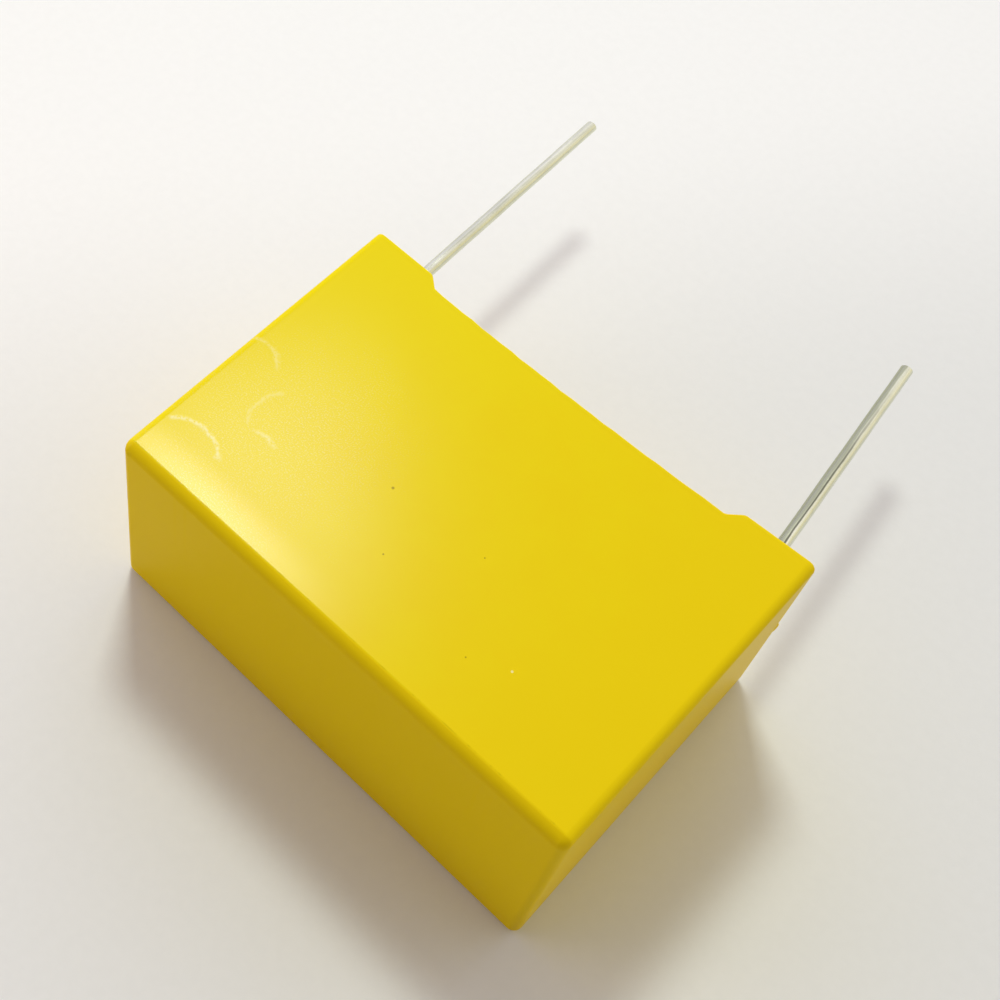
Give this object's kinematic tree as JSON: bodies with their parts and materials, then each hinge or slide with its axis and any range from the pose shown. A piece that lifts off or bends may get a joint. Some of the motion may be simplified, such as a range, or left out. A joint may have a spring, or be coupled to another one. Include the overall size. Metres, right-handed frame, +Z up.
{
  "type": "safety capacitor",
  "caption": "Boxed film safety capacitor with a yellow moulded case, standoff feet at both ends, a resin-filled mouth and tinned wire leads on one side.",
  "frame": {"origin": "centre of the wide face that the case lies on, level with the middle of the case's height", "axes": "+X along the lead pitch, +Y from the closed end towards the leads, +Z up, through the case's depth"},
  "size_m": [0.0314, 0.044, 0.015],
  "materials": {
    "case_plastic": "yellow flame-retardant polyester, fine matte mould grain",
    "resin": "yellow epoxy, smooth, drawn up at the walls and leads",
    "film": "metallised polypropylene film, wound and pressed flat",
    "sprayed_metal": "zinc spray, dull grey and rough",
    "tinned_wire": "bright tin plating with fine draw lines"
  },
  "bodies": {
    "root": {"case": "case_plastic", "potting_resin": "resin", "film_winding": "film", "end_contact_left": "sprayed_metal", "end_contact_right": "sprayed_metal", "lead_left": "tinned_wire", "lead_right": "tinned_wire"}
  },
  "joints": []
}
